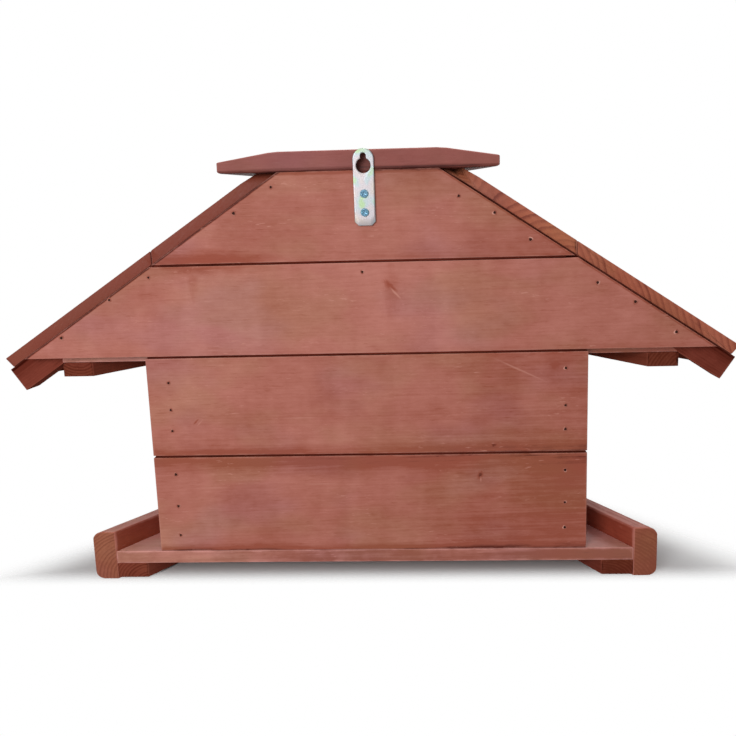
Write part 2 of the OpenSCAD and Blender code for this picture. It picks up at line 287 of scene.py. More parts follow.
def markGroup(s):
    inputs = {"Vector": ("Position", "Centre", "Spread"), "Float": ("Turn",)}
    tree, given, outlet = startGroup("wood_mark", inputs, {"Float": ("Core", "Swirl")})
    away = put(tree, "VectorMath", {0: given["Position"], 1: given["Centre"]}, operation="SUBTRACT")
    turned = {"Vector": away.outputs[0], "Angle": given["Turn"]}
    away = put(tree, "VectorRotate", turned, rotation_type="Y_AXIS").outputs[0]
    away = put(tree, "VectorMath", {0: away, 1: given["Spread"]}, operation="DIVIDE").outputs[0]
    ragged = maths(tree, "SUBTRACT", noise(tree, away, scale=s["grit"], detail=4, rough=0.6), 0.5)
    reach = put(tree, "VectorMath", {0: away}, operation="LENGTH").outputs["Value"]
    reach = maths(tree, "MULTIPLY_ADD", ragged, s["ragged"], reach)
    swirl = maths(tree, "EXPONENT", maths(tree, "MULTIPLY", reach, s["swirlFall"]))
    return finishGroup(tree, outlet, {"Core": smooth(tree, reach, *s["edge"], 1.0, 0.0),
                                      "Swirl": maths(tree, "MULTIPLY", swirl, s["swirl"])})


# Where an arris has rubbed: the arris mark broken up by noise along the edge
wearSet = {"scale": 55.0, "patches": (1.9, -0.2), "edge": (0.35, 0.95)}


def arrisWearGroup(s):
    inputs = {"Vector": ("Position",), "Float": ("Arris", "Amount")}
    tree, given, outlet = startGroup("arris_wear", inputs, {"Float": ("Worn",)})
    patchy = noise(tree, given["Position"], scale=s["scale"], detail=5, rough=0.65)
    rubbed = maths(tree, "MULTIPLY", given["Arris"], maths(tree, "MULTIPLY_ADD", patchy, *s["patches"]))
    worn = maths(tree, "MULTIPLY", smooth(tree, rubbed, *s["edge"]), given["Amount"])
    return finishGroup(tree, outlet, {"Worn": worn})


# Thin stain over the figure: deeper where the wood soaks more, at latewood, streaks, end cuts and knots,
# drifting in hue, near black where it is deepest, which paints the shade in gaps, under the cap and under the
# roof's edges and darkens joints, and pale where it has worn and where the painted sheen on upward faces
# lifts it
coatSet = {
    "figure": {"Latewood": 0.20, "Fibre": 0.3, "Streak": 0.38}, "least": 0.34,
    "depth": {"Soak": 1.0, "Tone": 0.25, "End Cut": 0.05, "Rings": 0.6, "Pore": 0.2, "Knot": 0.7},
    "relief": {"Latewood": 0.25, "Fibre": 0.5, "Soak": 0.5, "Streak": -0.3, "Pore": -0.35, "Knot": 0.2},
    "rough": {"Fibre": 0.3, "Latewood": -0.07, "Worn": 0.1},
    "shadeAndGrimeAt": (1.25, 2.1), "bareAndSheenAt": (-0.6, -0.05),
    "tints": {"Knot": (1.0, 0.88, 0.84, 1), "ShadeAndGrime": (0.32, 0.2, 0.18, 1), "Tan": (0.97, 1.09, 0.98, 1),
              "Mauve": (0.96, 1.0, 1.13, 1)},
}


def stainGroup(s):
    inputs = {"Float": figureParts + ("Knot", "Worn", "End Cut", "Tone", "Figure", "Matt"),
              "Color": ("Light", "Deep", "Bare", "Cut Tint")}
    outputs = {"Color": ("Color",), "Float": ("Roughness", "Height")}
    tree, given, outlet = startGroup("stain", inputs, outputs)
    parts = {label: given[label] for label in inputs["Float"]}
    for name in ("Fibre", "Soak"):
        parts[name] = maths(tree, "SUBTRACT", given[name], 0.5)
    parts["Tone"] = maths(tree, "MULTIPLY", given["Tone"], given["Band"])
    parts["Rings"] = maths(tree, "MULTIPLY", given["Latewood"], given["End Cut"])

    def sumOf(start, shares):
        return addUp(tree, start, *((parts[name], share) for name, share in shares.items()))

    def tinted(colour, *names):
        for name in names:
            colour = blend(tree, parts[name], colour, s["tints"][name], how="MULTIPLY")
        return colour

    depth = maths(tree, "MULTIPLY_ADD", sumOf(0.0, s["figure"]), given["Figure"], s["least"])
    depth = sumOf(depth, s["depth"])
    # Near black where the depth is greatest, except on end cuts: painted shade in gaps and under the cap and
    # the roof, and darker joints
    sound = maths(tree, "SUBTRACT", 1.0, given["End Cut"])
    parts["ShadeAndGrime"] = maths(tree, "MULTIPLY", smooth(tree, depth, *s["shadeAndGrimeAt"]), sound)
    colour = tinted(blend(tree, depth, given["Light"], given["Deep"]), "Knot", "ShadeAndGrime")
    # Pale where the depth is least, which is the painted sheen on faces that look up
    colour = blend(tree, smooth(tree, depth, *s["bareAndSheenAt"], 1.0, 0.0), colour, given["Bare"])
    colour = tinted(colour, "Tan", "Mauve")
    colour = blend(tree, given["End Cut"], colour, given["Cut Tint"], how="MULTIPLY")
    for name in ("Worn", "Flake"):
        colour = blend(tree, given[name], colour, given["Bare"])
    return finishGroup(tree, outlet, {"Color": colour, "Roughness": sumOf(given["Matt"], s["rough"]),
                                      "Height": sumOf(0.0, s["relief"])})


# Colour drift of passivated zinc, with fine rolling lines
bloomSet = {
    "hues": ((0.30, (0.95, 0.80, 0.64, 1)), (0.40, (0.90, 0.83, 0.84, 1)), (0.49, (0.86, 0.82, 0.90, 1)),
             (0.57, (0.70, 0.87, 0.96, 1)), (0.66, (0.62, 0.94, 0.52, 1))),
    "rolling": (2600, 300, 120), "grit": 1400, "rough": (0.22, 0.26), "relief": (0.6, 0.4),
}


def zincBloomGroup(s):
    inputs = {"Vector": ("Position",), "Float": ("Scale", "Drift"), "Color": ("Base",)}
    outputs = {"Color": ("Color",), "Float": ("Roughness", "Height")}
    tree, given, outlet = startGroup("zinc_bloom", inputs, outputs)
    hues = put(tree, "ValToRGB", {"Fac": noise(tree, given["Position"], scale=given["Scale"], detail=2)})
    stops = hues.color_ramp.elements
    for stop, (place, colour) in zip((stops[0], stops[1]), (s["hues"][0], s["hues"][-1])):
        stop.position, stop.color = place, colour
    for place, colour in s["hues"][1:-1]:
        stops.new(place).color = colour
    colour = blend(tree, given["Drift"], given["Base"], hues.outputs["Color"], how="MULTIPLY")
    rolled = noise(tree, stretched(tree, given["Position"], s["rolling"]), detail=2)
    grit = noise(tree, given["Position"], scale=s["grit"], detail=3)
    height = addUp(tree, 0.0, *zip((grit, rolled), s["relief"]))
    rough = maths(tree, "MULTIPLY_ADD", grit, *s["rough"])
    return finishGroup(tree, outlet, {"Color": colour, "Roughness": rough, "Height": height})


woodFigure, woodMark, arrisWear = woodFigureGroup(figureSet), markGroup(markSet), arrisWearGroup(wearSet)
stainCoat, zincBloom = stainGroup(coatSet), zincBloomGroup(bloomSet)


def useGroup(tree, group, links):
    made = tree.nodes.new("ShaderNodeGroup")
    made.node_tree = group
    feed(tree, made, links)
    return made.outputs


def dress(tree, surface, colour, rough, height, strength, distance):
    bump = put(tree, "Bump", {"Strength": strength, "Distance": distance, "Height": height})
    feed(tree, surface, {"Base Color": colour, "Roughness": rough, "Normal": bump.outputs["Normal"]})


# Marks on the planks: x, height, half length, half width in metres, turn in degrees and depth. A mark of
# negative depth is a pale scuff.
plankMarks = (
    (-0.0227, 0.2493, 0.0100, 0.0042, 48, 1.0), (-0.0230, 0.2450, 0.0090, 0.0280, 0, 0.35),  # gable knot
    (-0.0270, 0.2435, 0.0080, 0.0012, 48, -0.8), (0.1370, 0.2540, 0.0060, 0.0180, 0, 0.4),
    (0.1280, 0.2712, 0.0660, 0.0120, 1, 0.85), (0.1380, 0.2655, 0.0030, 0.0040, 0, 0.7),     # red band
    (-0.0933, 0.0905, 0.0026, 0.0038, 20, 1.5), (-0.1050, 0.1162, 0.0034, 0.0018, 0, 1.2),   # small knots
    (-0.0938, 0.0866, 0.0008, 0.0030, 0, -0.6), (0.0413, 0.0842, 0.0200, 0.0009, 0, -0.4),
    (0.0553, 0.1416, 0.0180, 0.0009, 0, -0.35), (0.1309, 0.0817, 0.0150, 0.0008, 0, -0.3),
    (0.1430, 0.1395, 0.0042, 0.0010, -45, 0.8), (0.1400, 0.1383, 0.0042, 0.0008, -45, -0.5),
    (-0.1550, 0.1820, 0.0060, 0.0040, 0, 0.4), (-0.1265, 0.1789, 0.0270, 0.0011, 25.6, -0.5),    # scratch
)
# Stain colours are linear. What a stain doesn't say is as in stainBase.
stainBase = {"cut": (0.9, 0.9, 0.85), "ringWidth": 0.0026, "wander": 0.007, "figure": 0.55, "worn": 0.4,
             "bump": 0.2, "gloss": 0.25, "matt": 0.6, "flakes": 0.25, "relief": 0.0006, "marks": ()}
stainSet = {
    "plank_stain": {"light": (0.485, 0.187, 0.148), "deep": (0.285, 0.072, 0.044), "bare": (0.52, 0.23, 0.18),
                    "cut": (0.85, 0.83, 0.78), "bump": 0.16, "gloss": 0.12, "matt": 0.58, "flakes": 0.55,
                    "marks": plankMarks},
    # The tray's bare colour is also its painted sheen on the faces that look up
    "tray_stain": {"light": (0.620, 0.258, 0.210), "deep": (0.255, 0.064, 0.037), "bare": (0.72, 0.33, 0.30),
                   "cut": (0.95, 0.95, 0.85), "figure": 0.4, "worn": 0.45, "gloss": 0.4, "matt": 0.5},
    # The rails' bare colour is also their painted sheen on the faces that look up
    "rail_stain": {"light": (0.360, 0.074, 0.042), "deep": (0.215, 0.036, 0.019), "bare": (0.56, 0.22, 0.18),
                   "cut": (1.00, 1.48, 1.48), "figure": 0.8, "bump": 0.25, "gloss": 0.2, "matt": 0.55},
    "batten_stain": {"light": (0.250, 0.060, 0.039), "deep": (0.125, 0.023, 0.014), "bare": (0.3, 0.09, 0.06),
                     "ringWidth": 0.0024, "wander": 0.005, "figure": 0.7, "worn": 0.35, "bump": 0.25,
                     "gloss": 0.0, "matt": 0.66},
    "roof_stain": {"light": (0.345, 0.107, 0.069), "deep": (0.150, 0.031, 0.019), "bare": (0.42, 0.18, 0.15),
                   "cut": (1.28, 1.20, 1.00), "ringWidth": 0.0028, "wander": 0.008, "figure": 0.45,
                   "worn": 0.2, "flakes": 0.2},
    "cap_stain": {"light": (0.278, 0.079, 0.066), "deep": (0.178, 0.042, 0.033), "bare": (0.38, 0.15, 0.13),
                  "cut": (0.9, 0.9, 0.88), "ringWidth": 0.0028, "wander": 0.008, "flakes": 0.2},
}


def stainedWood(name):
    s = {**stainBase, **stainSet[name]}
    material, tree, surface = newMaterial(name)
    place = objectPlace(tree)
    marks = split(tree, attribute(tree, "marks"))
    swirl = core = scuff = 0.0
    for x, z, halfLong, halfWide, turn, depth in s["marks"]:
        spot = {"Position": place, "Centre": (x, wallFace, z), "Spread": (halfLong, 1.0, halfWide),
                "Turn": math.radians(turn)}
        mark = useGroup(tree, woodMark, spot)
        if depth > 0:
            core = maths(tree, "MAXIMUM", maths(tree, "MULTIPLY", mark["Core"], depth), core)
            swirl = maths(tree, "MULTIPLY_ADD", mark["Swirl"], depth, swirl)
        else:
            scuff = maths(tree, "MAXIMUM", maths(tree, "MULTIPLY", mark["Core"], -depth), scuff)
    rings = {"Grain": attribute(tree, "grain"), "Ring Width": s["ringWidth"], "Wander": s["wander"],
             "Swirl": swirl}
    figure = useGroup(tree, woodFigure, rings)
    rubbed = useGroup(tree, arrisWear, {"Arris": marks["X"], "Position": place, "Amount": s["worn"]})
    given = {label: figure[label] for label in figureParts}
    given.update({
        "Flake": maths(tree, "MULTIPLY", figure["Flake"], s["flakes"]), "Knot": core,
        "Worn": maths(tree, "MAXIMUM", rubbed["Worn"], scuff), "End Cut": marks["Y"], "Tone": marks["Z"],
        "Figure": s["figure"], "Matt": s["matt"], "Light": s["light"] + (1,), "Deep": s["deep"] + (1,),
        "Bare": s["bare"] + (1,), "Cut Tint": s["cut"] + (1,)})
    coat = useGroup(tree, stainCoat, given)
    dress(tree, surface, coat["Color"], coat["Roughness"], coat["Height"], s["bump"], s["relief"])
    surface.inputs["Specular IOR Level"].default_value = s["gloss"]
    return material


stains = {name: stainedWood(name) for name in stainSet}
print("stains mixed:", ", ".join(stains))


# Geometry of the boards, in metres. Laps are how far from its ends a side gets points.
boardSet = {
    "arris": 0.0004, "arcSteps": 3, "shallow": 0.5, "cornerRoom": 0.4, "step": 0.008, "blunt": 0.0004,
    "laps": (0.0008, 0.0032, 0.0064, 0.0100), "lapRoom": 0.3, "lapMargin": 1.3, "squeeze": 2.2,
    "warp": 0.00022, "warpWaves": (0.5, 0.12), "chip": 0.00025, "chipWaves": (0.05, 0.008),
    "wearReach": 0.0016, "toneSpread": 0.25, "edgeDarkSpread": (0.75, 0.8), "edgeDarkWaves": (0.5, 0.1),
    "paintedTopSheenPower": 4, "endLightAndShadeFade": 0.9, "seed": 500,
}
planeSlack, sideSlack, leastEdge, leastArea = 1e-5, 0.02, 1e-6, 1e-8
planeGrid = (200, 200, 200, 20000)      # steps to which planes are rounded to tell them apart
levelFrom = 0.95                        # least upward part of the normal of a level side
waveTurns = 9


def unit(vector):
    return vector / np.linalg.norm(vector)


def nodeMesh(node):
    mesh = nodes[node].data
    mesh.calc_loop_triangles()
    places = np.empty(len(mesh.vertices) * 3, np.float32)
    mesh.vertices.foreach_get("co", places)
    corners = np.empty(len(mesh.loop_triangles) * 3, np.int32)
    mesh.loop_triangles.foreach_get("vertices", corners)
    return places.reshape(-1, 3).astype(float), corners.reshape(-1, 3)


# Planes of a node's flat sides that have the whole node behind them, as rows of unit normal and offset.
# A triangle's normal is the cross product of two of its edges, and each plane is kept once.
def outerPlanes(node):
    places, corners = nodeMesh(node)
    first, second, third = (places[corners[:, k]] for k in range(3))
    normals = np.cross(second - first, third - first)
    sizes = np.linalg.norm(normals, axis=1)
    whole = sizes > leastArea
    normals = normals[whole] / sizes[whole, None]
    offsets = (normals * first[whole]).sum(axis=1)
    behind = (places @ normals.T - offsets).max(axis=0) < planeSlack
    rows = np.c_[normals, offsets][behind]
    kept = np.unique(np.round(rows * planeGrid), axis=0, return_index=True)[1]
    return rows[kept]


# The part of a convex loop that lies behind a line
def clipLoop(loop, normal, offset):
    side = loop @ normal - offset
    after, sideAfter = np.roll(loop, -1, 0), np.roll(side, -1)
    kept = []
    for here, there, near, far in zip(loop, after, side, sideAfter):
        if near <= 0:
            kept.append(here)
        if near * far < 0:
            kept.append(here + (there - here) * near / (near - far))
    return np.array(kept)


# Shares of a side at which it gets points: close to both ends, and at even steps between
def sideCuts(length):
    s = boardSet
    count = max(1, math.ceil(length / s["step"]))
    even = np.arange(1, count) / count
    laps = np.array(s["laps"]) / length
    laps = laps[laps < s["lapRoom"]]
    if not len(laps):
        return even
    margin = s["lapMargin"] * laps[-1]
    between = even[(even > margin) & (even < 1 - margin)]
    return np.concatenate([laps, between, 1 - laps[::-1]])


# A convex loop with rounded corners: a corner is an arc of the given radius between its two sides' normals,
# and shallow corners keep one point. Gives places, outward normals, distances from a corner, and cuts.
def roundedLoop(corners, radius, cuts=None):
    before, after = np.roll(corners, 1, 0), np.roll(corners, -1, 0)
    inLength, outLength = (np.linalg.norm(way, axis=1) for way in (corners - before, after - corners))
    inWay = (corners - before) / inLength[:, None]
    outWay = np.roll(inWay, -1, 0)
    inNormal, outNormal = (np.c_[way[:, 1], -way[:, 0]] for way in (inWay, outWay))
    turn = np.arccos(np.clip((inWay * outWay).sum(axis=1), -1, 1))
    sharp = turn > boardSet["shallow"]
    trim = np.minimum(radius * np.tan(turn / 2), boardSet["cornerRoom"] * np.minimum(inLength, outLength))
    arc = trim / np.maximum(np.tan(turn / 2), 1e-9)
    centre = corners - inWay * trim[:, None] - inNormal * arc[:, None]
    places, normals, spans, madeCuts = [], [], [], []
    for k in range(len(corners)):
        share = np.linspace(0, 1, boardSet["arcSteps"] + 1)[:, None] if sharp[k] else np.array([[0.5]])
        fan = inNormal[k] * (1 - share) + outNormal[k] * share
        fan /= np.linalg.norm(fan, axis=1)[:, None]
        rim = centre[k] + fan * arc[k] if sharp[k] else corners[k][None]
        places.append(rim)
        normals.append(fan)
        spans.append(np.zeros(len(rim)))
        nextOne = (k + 1) % len(corners)
        start = corners[k] + outWay[k] * (trim[k] if sharp[k] else 0)
        stop = corners[nextOne] - outWay[k] * (trim[nextOne] if sharp[nextOne] else 0)
        length = np.linalg.norm(stop - start)
        cut = sideCuts(length) if cuts is None else cuts[k]
        madeCuts.append(cut)
        places.append(start + (stop - start) * cut[:, None])
        normals.append(np.repeat(outNormal[k][None], len(cut), 0))
        spans.append(np.minimum(cut, 1 - cut) * length)
    return np.concatenate(places), np.concatenate(normals), np.concatenate(spans), madeCuts


# Faces that close a loop of points: the tip, then a ladder between both halves of the loop
def ladder(loop):
    count = len(loop)
    rung = np.arange(1, (count - 1) // 2)
    quads = np.c_[loop[rung], loop[rung + 1], loop[count - rung - 1], loop[count - rung]]
    tips = [[loop[0], loop[1], loop[count - 1]]]
    if count % 2 == 0:
        half = count // 2
        tips.append([loop[half - 1], loop[half], loop[half + 1]])
    return quads.tolist() + tips


# A sum of sines of random length and phase along and around a board, from 0 to 1
def slowWaves(rng, along, around, longest, shortest, count=5):
    lengths = rng.uniform(shortest, longest, count)[:, None, None]
    phases = rng.uniform(0, 2 * math.pi, (2, count))[:, :, None, None]
    waves = np.sin(2 * math.pi * along / lengths + phases[0]) * np.cos(waveTurns * around + phases[1])
    return 0.5 + 0.5 * waves.sum(axis=0) / count


def makePiece(name, node, places, faces, attributes, material):
    mesh = bpy.data.meshes.new(name)
    mesh.from_pydata(places.reshape(-1, 3).tolist(), [], faces)
    mesh.polygons.foreach_set("use_smooth", np.ones(len(mesh.polygons), bool))
    for label, values in attributes.items():
        layer = mesh.attributes.new(label, "FLOAT_VECTOR", "POINT")
        layer.data.foreach_set("vector", values.reshape(-1).astype(np.float32))
    mesh.materials.append(material)
    piece = bpy.data.objects.new(name, mesh)
    scene.collection.objects.link(piece)
    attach(piece, "root")
    if node:
        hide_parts(node)
    return piece


def gridQuads(here, there):
    return np.stack([here, np.roll(here, -1, 1), np.roll(there, -1, 1), there], axis=-1).reshape(-1, 4)


def boardFaces(rows, count):
    index = np.arange(rows * count).reshape(rows, count)
    return gridQuads(index[:-1], index[1:]).tolist() + ladder(index[0][::-1]) + ladder(index[-1])


# Grain directions of a board: distance along it, and across and through it from a pith line that lies beside
# the board and leans a little, so that faces show arches and ends show arcs
grainSet = {"pithAcross": (0.3, 1.5), "pithThrough": (0.3, 0.8), "leastWidth": 0.03, "leans": (0.012, 0.02),
            "start": 5}


def grainField(rng, along, across, through, width):
    s = grainSet
    pithAcross = rng.choice((-1, 1)) * rng.uniform(*s["pithAcross"]) * width
    pithThrough = rng.choice((-1, 1)) * rng.uniform(*s["pithThrough"]) * max(width, s["leastWidth"])
    leanAcross, leanThrough = (rng.normal(0, lean) for lean in s["leans"])
    return np.stack([along + rng.uniform(0, s["start"]), across - pithAcross + leanAcross * along,
                     through - pithThrough + leanThrough * along], axis=-1)


# A node's corners and middle, its board's axes across, through and along, and its side, start and end planes
# in those axes, from the middle
def boardFrame(node, grainWay):
    corners = nodeMesh(node)[0]
    middle = (corners.min(axis=0) + corners.max(axis=0)) / 2
    along = unit(np.array(grainWay, float))
    planes = outerPlanes(node)
    lean = planes[:, :3] @ along
    isSide, isStart, isEnd = abs(lean) < sideSlack, lean <= -sideSlack, lean >= sideSlack
    through = planes[isSide][np.ptp(corners @ planes[isSide, :3].T, axis=0).argmin(), :3]
    across = unit(np.cross(through, along))
    axes = np.stack([across, np.cross(along, across), along])
    planes = np.c_[planes[:, :3] @ axes.T, planes[:, 3] - planes[:, :3] @ middle]
    return corners, middle, axes, planes[isSide], planes[isStart], planes[isEnd]


# A large square cut down by the side planes. A pointed board gets a blunt tip, where both ends still stand
# apart.
def boardLoop(sides, starts, ends):
    loop = np.array([[-1, -1], [1, -1], [1, 1], [-1, 1]], float)
    for side in sides:
        loop = clipLoop(loop, side[:2], side[3])
    for start in starts:
        for end in ends:
            slope = end / end[2] - start / start[2]
            if np.linalg.norm(slope[:2]) > planeSlack:
                loop = clipLoop(loop, slope[:2], slope[3] - boardSet["blunt"])
    return loop[np.linalg.norm(loop - np.roll(loop, 1, 0), axis=1) > leastEdge]


def meets(planes, points):      # how far along the board each plane lies at a point of the profile
    return (planes[:, 3] - points @ planes[:, :2].T) / planes[:, 2]


# A board: its rounded profile is carried along the grain. Each profile point runs from the last of the node's
# start planes to the first of its end planes, the profile draws in by a quarter round at both ends, and slow
# waves and chipped arrises take a little off.
def carryBoard(node, grainWay, stain, slot, arris=None, chip=None, toneAndShade=(0.0,), edgeDarkAndShade=(0.0, 0.0),
               rises=(0.0055, 0.0055), paintedTopSheen=0.0, endLightAndShade=(0.0, 0.0)):
    s = boardSet
    radius, chipped = arris or s["arris"], s["chip"] if chip is None else chip
    rng = np.random.default_rng(s["seed"] + nodeOrder.index(node))
    corners, middle, axes, sides, starts, ends = boardFrame(node, grainWay)
    across, through, along = axes
    profile, normals, spans, _ = roundedLoop(boardLoop(sides, starts, ends), radius)
    first = np.lexsort((abs(profile[:, 1] - profile[:, 1].mean()), np.round(profile[:, 0], 5)))[0]
    profile, normals, spans = (np.roll(x, -first, 0) for x in (profile, normals, spans))

    turn = np.linspace(math.pi / 2, 0, s["arcSteps"] + 1)
    endLaps = np.array(s["laps"][:2])
    inset = np.r_[radius * (1 - np.cos(turn)), endLaps * 0]
    lift = np.r_[radius * (1 - np.sin(turn)), radius + endLaps]
    drawn = profile[None] - inset[:, None, None] * normals[None]
    fromEnd, toEnd = meets(starts, drawn).max(axis=-1), meets(ends, drawn).min(axis=-1)
    length = np.maximum(toEnd[-1] - fromEnd[-1], 1e-4)
    squeeze = np.minimum(1, length / (s["squeeze"] * lift[-1]))
    low = fromEnd + lift[:, None] * squeeze
    high = toEnd - lift[:, None] * squeeze
    rowCount = max(2, math.ceil(length.max() / s["step"]))
    share = np.linspace(0, 1, rowCount + 1)[1:-1, None]
    between = low[-1] * (1 - share) + high[-1] * share
    run = np.concatenate([low, between, high[::-1]])
    points = np.concatenate([drawn, np.repeat(profile[None], len(between), 0), drawn[::-1]])

    around = np.repeat(np.linspace(0, 2 * math.pi, len(profile), endpoint=False)[None], len(run), 0)
    onArris = np.exp(-spans / s["wearReach"])[None]
    taken = s["warp"] * slowWaves(rng, run, np.round(around / waveTurns, 3), *s["warpWaves"])
    taken = taken + chipped * onArris * slowWaves(rng, run, around, *s["chipWaves"]) ** 2
    points = points - taken[..., None] * normals[None]
    places = middle + run[..., None] * along + points[..., :1] * across + points[..., 1:] * through

    def bothEnds(row, first=1.0, last=1.0):
        return np.r_[first * row, np.zeros(len(between)), last * row[::-1]][:, None]

    rowEdge = bothEnds(np.r_[0, np.ones(s["arcSteps"]), np.exp(-endLaps / s["wearReach"])])
    cutRow = bothEnds(np.r_[np.sin(turn) ** 2, endLaps * 0])
    # Painted shade on the ends where the roof's edge runs over them, fading over the laps, and painted light
    # where it is negative
    endLightAndShadeRow = bothEnds(np.r_[np.ones(len(turn)), np.linspace(s["endLightAndShadeFade"], 0, len(endLaps))], *endLightAndShade)
    edge = np.maximum(rowEdge, onArris * (1 - cutRow))
    # Darker bands along the lower and upper edge: painted shade under the cap and under the roof boards, and
    # darker joints
    upward = np.cross(along, (0, 1, 0)) * (1 if along[0] > 0 else -1)
    level, span = places @ upward, corners @ upward
    edgeDarkSum, (least, more) = 0, s["edgeDarkSpread"]
    for darkening, rise, gap in zip(edgeDarkAndShade, rises, (level - span.min(), span.max() - level)):
        uneven = least + more * slowWaves(rng, run, around * 0, *s["edgeDarkWaves"])
        edgeDarkSum = edgeDarkSum + darkening * np.exp(-(gap / rise) ** 2) * uneven
    # A tone that differs along the board; on planks and tray boards it also paints the shade that deepens
    # towards -X, away from the key light
    toneAndShadeAlong = np.interp(run, np.linspace(run.min(), run.max(), len(toneAndShade)), toneAndShade)
    # Faces that look up are lightened towards the bare colour: a painted sheen
    facingUp = np.clip(normals @ (across[2], through[2]), 0, 1)[None] ** s["paintedTopSheenPower"] * (1 - cutRow)
    depth = toneAndShadeAlong + rng.normal(0, s["toneSpread"]) + edgeDarkSum - paintedTopSheen * facingUp + endLightAndShadeRow
    marks = np.stack([edge, np.broadcast_to(cutRow, edge.shape), depth], axis=-1)
    grain = grainField(rng, run, points[..., 0], points[..., 1], np.ptp(corners @ across))
    return makePiece(node + "_board", node, places, boardFaces(*run.shape), {"grain": grain, "marks": marks},
                     stains[stain])


def sideWay(node):      # level, along the side of the plan that the node belongs to
    angle = {"left": -150, "front": -90, "right": -30}[node.split("_")[-1]]
    return (-math.sin(math.radians(angle)), math.cos(math.radians(angle)), 0)


def roofNormal(node):   # of the sloping upper side
    return max((row for row in outerPlanes(node).tolist() if row[2] < levelFrom), key=lambda row: row[2])


def slopeWay(node):     # straight down the roof
    normal = roofNormal(node)
    fall = math.hypot(normal[0], normal[1])
    return (normal[0] * normal[2] / fall, normal[1] * normal[2] / fall, -fall)


def vergeWay(node):     # down the gable, in the plane of the wall
    normal = roofNormal(node)
    return (normal[2], 0, -normal[0])


levelWay, uprightWay = (1, 0, 0), (0, 0, 1)
sideTones = {"left": 1.2, "right": 0.2}    # sides as seen from the open front
roofTones = {"left": 0.4, "front": 0.8, "right": 1.2}
# Painted shade on the roof boards' ends along the gable, and painted light where it is negative
vergeLightAndShade = {"left": -0.4, "front": 0.0, "right": 3.2}
railTones = {"left": 1.5, "front": 1.0, "right": 0.9}
# Depth of stain at -X, middle and +X, which also paints the shade that deepens towards -X, away from the key
# light; how much darker the lower and upper edge are and how far up, which under the cap is painted shade;
# and how much painted shade the ends have where the roof's edge runs over them
plankSet = {
    "wall_plank_lower": {"toneAndShade": (2.5, 1.0, 0.5), "edgeDarkAndShade": (4.0, 2.5), "rises": (0.0036, 0.0110)},
    "wall_plank_upper": {"toneAndShade": (1.3, 0.35, 0.05), "edgeDarkAndShade": (2.8, 0.4), "rises": (0.0060, 0.0055)},
    "gable_plank_lower": {"toneAndShade": (0.5, -0.5, -0.1), "edgeDarkAndShade": (0.5, 0.3), "endLightAndShade": (4.0, 12.0)},
    # The upper gable plank's top edge is painted shade under the cap
    "gable_plank_upper": {"toneAndShade": (1.2, 0.6, 0.5), "edgeDarkAndShade": (0.5, 6.0), "rises": (0.0055, 0.0018),
                          "endLightAndShade": (3.0, 11.0)},
}
planks = {"stain": "plank_stain", "slot": "planks", "arris": 0.0003}
# Tray boards darken towards -X, painted shade, and the upward faces of tray boards and rails are lightened, a
# painted sheen
trays = {"stain": "tray_stain", "slot": "tray", "toneAndShade": (3.2, 1.6, 1.1), "paintedTopSheen": 3.9}
rails = {"stain": "rail_stain", "slot": "tray", "arris": 0.0012, "paintedTopSheen": 4.5}
battens = {"stain": "batten_stain", "slot": "battens"}
# The rafters darken along their upper edge: painted shade under the roof boards
raftersShadedUnderRoof = {**battens, "edgeDarkAndShade": (0.0, 6.0), "rises": (0.006, 0.006)}
roofs = {"stain": "roof_stain", "slot": "roof", "arris": 0.00025, "chip": 0.0001}
eaveTone = 4.5

for node, settings in plankSet.items():
    carryBoard(node, levelWay, **planks, **settings)
for part in ("floor", "ceiling"):
    for place in ("back", "middle", "front"):
        carryBoard(part + "_board_" + place, levelWay, **trays)
for side in ("left", "front", "right"):
    carryBoard("rail_" + side, sideWay(side), toneAndShade=(railTones[side],), **rails)
    carryBoard("eave_batten_" + side, sideWay(side), toneAndShade=(eaveTone,), **battens)
    for k in range(1, 5):
        node = f"roof_{side}_{k}"
        carryBoard(node, slopeWay(node), toneAndShade=(roofTones[side],), endLightAndShade=(vergeLightAndShade[side], 0.0), **roofs)
for side in ("left", "right"):
    for part in ("floor_batten_", "ceiling_batten_"):
        carryBoard(part + side, sideWay(side), toneAndShade=(sideTones[side],), **battens)
    carryBoard("rafter_" + side, vergeWay("rafter_" + side), toneAndShade=(sideTones[side],), **raftersShadedUnderRoof)
    for part in ("post_back_", "post_front_"):
        carryBoard(part + side, uprightWay, **battens)
print("boards carried")


# A slip closes each joint of the wall a little below its face: a rectangle carried along the joint, stained
# near black, which paints the shade in the joint
slipSet = {
    "joints": (("wall_plank_lower", "wall_plank_upper", 0.180),
               ("wall_plank_upper", "gable_plank_lower", 0.180),
               ("gable_plank_lower", "gable_plank_upper", 0.163)),
    "behind": (0.0098, 0.0011), "tone": 4.2,
}


def slipJoint(s, below, above, half):
    height = np.array((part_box(below)[1].z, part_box(above)[0].z))[[0, 0, 1, 1]]
    x = np.array((-half, half))[:, None]
    depth = wallFace - np.array(s["behind"])[[0, 1, 1, 0]]
    places = np.stack(np.broadcast_arrays(x, depth, height), axis=-1)
    marks = np.zeros(places.shape) + (0, 0, s["tone"])
    grain = places - (0, wallFace, height[0])
    return makePiece(below + "_slip", None, places, boardFaces(2, 4), {"grain": grain, "marks": marks},
                     stains["batten_stain"])


for below, above, half in slipSet["joints"]:
    slipJoint(slipSet, below, above, half)

# The cap: its outline ring by ring, up the edge, over the bevel and in over the level top. The open sides and
# the wall side draw in by their own distances, and the lowest top plane gives the height over each point.
capSet = {
    "arris": 0.0008, "baseArris": 0.0016, "edgeRows": (0.12, 0.5, 0.88), "bevelRings": 9, "levelRings": 3,
    "levelDraw": 0.012, "backDraw": 0.02, "rimReach": 0.002, "capBaseShade": (6.0, 0.1), "warpWaves": (0.3, 0.08),
    "grainWidth": 0.09, "seed": 77,
}


